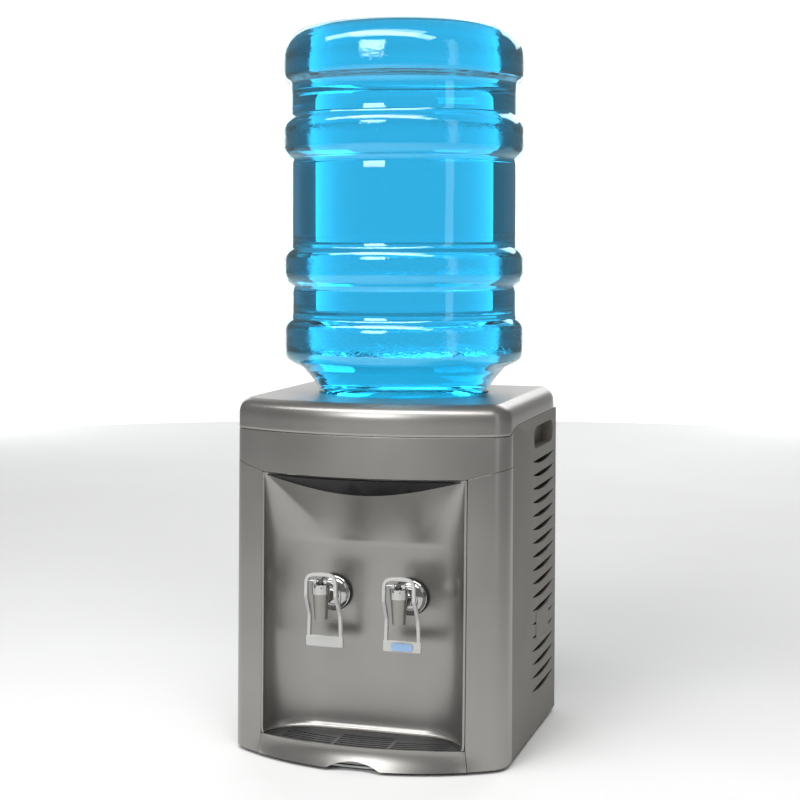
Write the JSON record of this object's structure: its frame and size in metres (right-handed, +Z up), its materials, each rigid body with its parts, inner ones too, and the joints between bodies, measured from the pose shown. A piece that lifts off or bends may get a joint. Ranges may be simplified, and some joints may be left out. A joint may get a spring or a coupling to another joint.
{
  "type": "countertop water dispenser",
  "caption": "Countertop water dispenser with an inverted blue bottle, silver cabinet, recessed alcove, two lever taps and a slide-out drip tray.",
  "frame": {"origin": "centre of the footprint at the underside of the rubber feet", "axes": "+Z up, -Y towards the front with the taps, +X to the right seen from the front"},
  "size_m": [0.3044, 0.328, 0.7913],
  "materials": {
    "lid_plastic": "satin silver-painted ABS",
    "silver_plastic": "satin silver-painted ABS",
    "side_plastic": "satin grey ABS",
    "alcove_plastic": "satin silver-painted ABS",
    "tray_plastic": "satin light-grey ABS",
    "black_plastic": "gloss black acrylic",
    "grille_plastic": "moulded dark grey",
    "label": "blank film",
    "galvanised": "zinc-coated sheet",
    "rubber": "moulded",
    "screw": "zinc plated",
    "bottle": "clear blue polycarbonate",
    "white_plastic": "moulded polypropylene",
    "seal": "silicone",
    "stainless": "brushed",
    "foam": "expanded polystyrene",
    "copper": "drawn copper",
    "black_steel": "black enamel",
    "silicone_tube": "clear silicone",
    "chrome": "polished",
    "satin_silver": "satin silver plate",
    "stem_steel": "dark turned steel",
    "spring_steel": "drawn wire",
    "lever_plastic": "moulded light grey ABS",
    "cold_blue": "printed patch"
  },
  "bodies": {
    "cabinet": {"top_cover": "lid_plastic", "upper_fascia": "silver_plastic", "front_frame": "silver_plastic", "alcove_panel": "alcove_plastic", "black_trim": "black_plastic", "left_side_panel": "side_plastic", "right_side_panel": "side_plastic", "blank_label": "label", "rear_panel": "galvanised", "base_pan": "galvanised", "rubber_feet": "rubber", "panel_screws": "screw", "bottle_seat": "white_plastic", "feed_spike": "white_plastic", "seat_seal": "seal", "cold_tank": "stainless", "tank_lid": "white_plastic", "baffle_disc": "white_plastic", "tank_insulation": "foam", "evaporator_coil": "copper", "cold_outlet_pipe": "silicone_tube", "ambient_outlet_pipe": "silicone_tube", "drain_pipe": "silicone_tube", "compressor": "black_steel", "compressor_grommets": "rubber", "compressor_bolts": "screw", "relay_cover": "black_plastic", "condenser_tube": "black_steel", "condenser_wires": "black_steel", "condenser_brackets": "galvanised", "filter_drier": "copper", "suction_line": "copper", "discharge_line": "copper", "capillary_tube": "copper", "thermostat": "white_plastic", "cord_gland": "black_plastic", "tap_gaskets": "rubber", "tap_lock_nuts": "screw", "crown_nuts": "chrome", "left_tap_body": "chrome", "right_tap_body": "chrome", "left_spout": "satin_silver", "right_spout": "satin_silver", "left_spring": "spring_steel", "right_spring": "spring_steel"},
    "left_lever": {"left_lever": "lever_plastic", "lever_pins_left": "screw"},
    "right_lever": {"right_lever": "lever_plastic", "lever_pins_right": "screw", "cold_marker": "cold_blue"},
    "left_stem": {"left_stem": "stem_steel", "left_valve_seal": "rubber"},
    "right_stem": {"right_stem": "stem_steel", "right_valve_seal": "rubber"},
    "bottle": {"water_bottle": "bottle", "bottle_cap": "white_plastic"},
    "tray": {"drip_tray": "tray_plastic"},
    "grille": {"drip_grille": "grille_plastic"},
    "knob": {"thermostat_knob": "black_plastic"},
    "drain_plug": {"drain_plug": "black_plastic"}
  },
  "joints": [
    {"name": "left_lever_press", "type": "hinge", "parent": "cabinet", "child": "left_lever", "pos_m": [-0.043, -0.13889, 0.194], "axis": [1, 0, 0], "range_deg": [0, 20], "stiffness_Nm_per_rad": 0.6, "springref_deg": -8.59},
    {"name": "left_stem_lift", "type": "slide", "parent": "cabinet", "child": "left_stem", "axis": [0, 0, 1], "range_m": [0, 0.0025], "deforming": ["left_spring"]},
    {"name": "right_lever_press", "type": "hinge", "parent": "cabinet", "child": "right_lever", "pos_m": [0.043, -0.13889, 0.194], "axis": [1, 0, 0], "range_deg": [0, 20], "stiffness_Nm_per_rad": 0.6, "springref_deg": -8.59},
    {"name": "right_stem_lift", "type": "slide", "parent": "cabinet", "child": "right_stem", "axis": [0, 0, 1], "range_m": [0, 0.0025], "deforming": ["right_spring"]},
    {"name": "bottle_lift", "type": "slide", "parent": "cabinet", "child": "bottle", "axis": [0, 0, 1], "range_m": [0, 0.15]},
    {"name": "tray_slide", "type": "slide", "parent": "cabinet", "child": "tray", "axis": [0, -1, 0], "range_m": [0, 0.09]},
    {"name": "grille_lift", "type": "slide", "parent": "tray", "child": "grille", "axis": [0, 0, 1], "range_m": [0, 0.06]},
    {"name": "thermostat_turn", "type": "hinge", "parent": "cabinet", "child": "knob", "pos_m": [0.096, 0.13211, 0.119], "axis": [0, 1, 0], "range_deg": [-135, 135]},
    {"name": "drain_plug_pull", "type": "slide", "parent": "cabinet", "child": "drain_plug", "axis": [0, 1, 0], "range_m": [0, 0.03]}
  ],
  "couplings": [
    {"joint": "left_stem_lift", "follows": "left_lever_press", "m_per_rad": 0.00716},
    {"joint": "right_stem_lift", "follows": "right_lever_press", "m_per_rad": 0.00716}
  ]
}
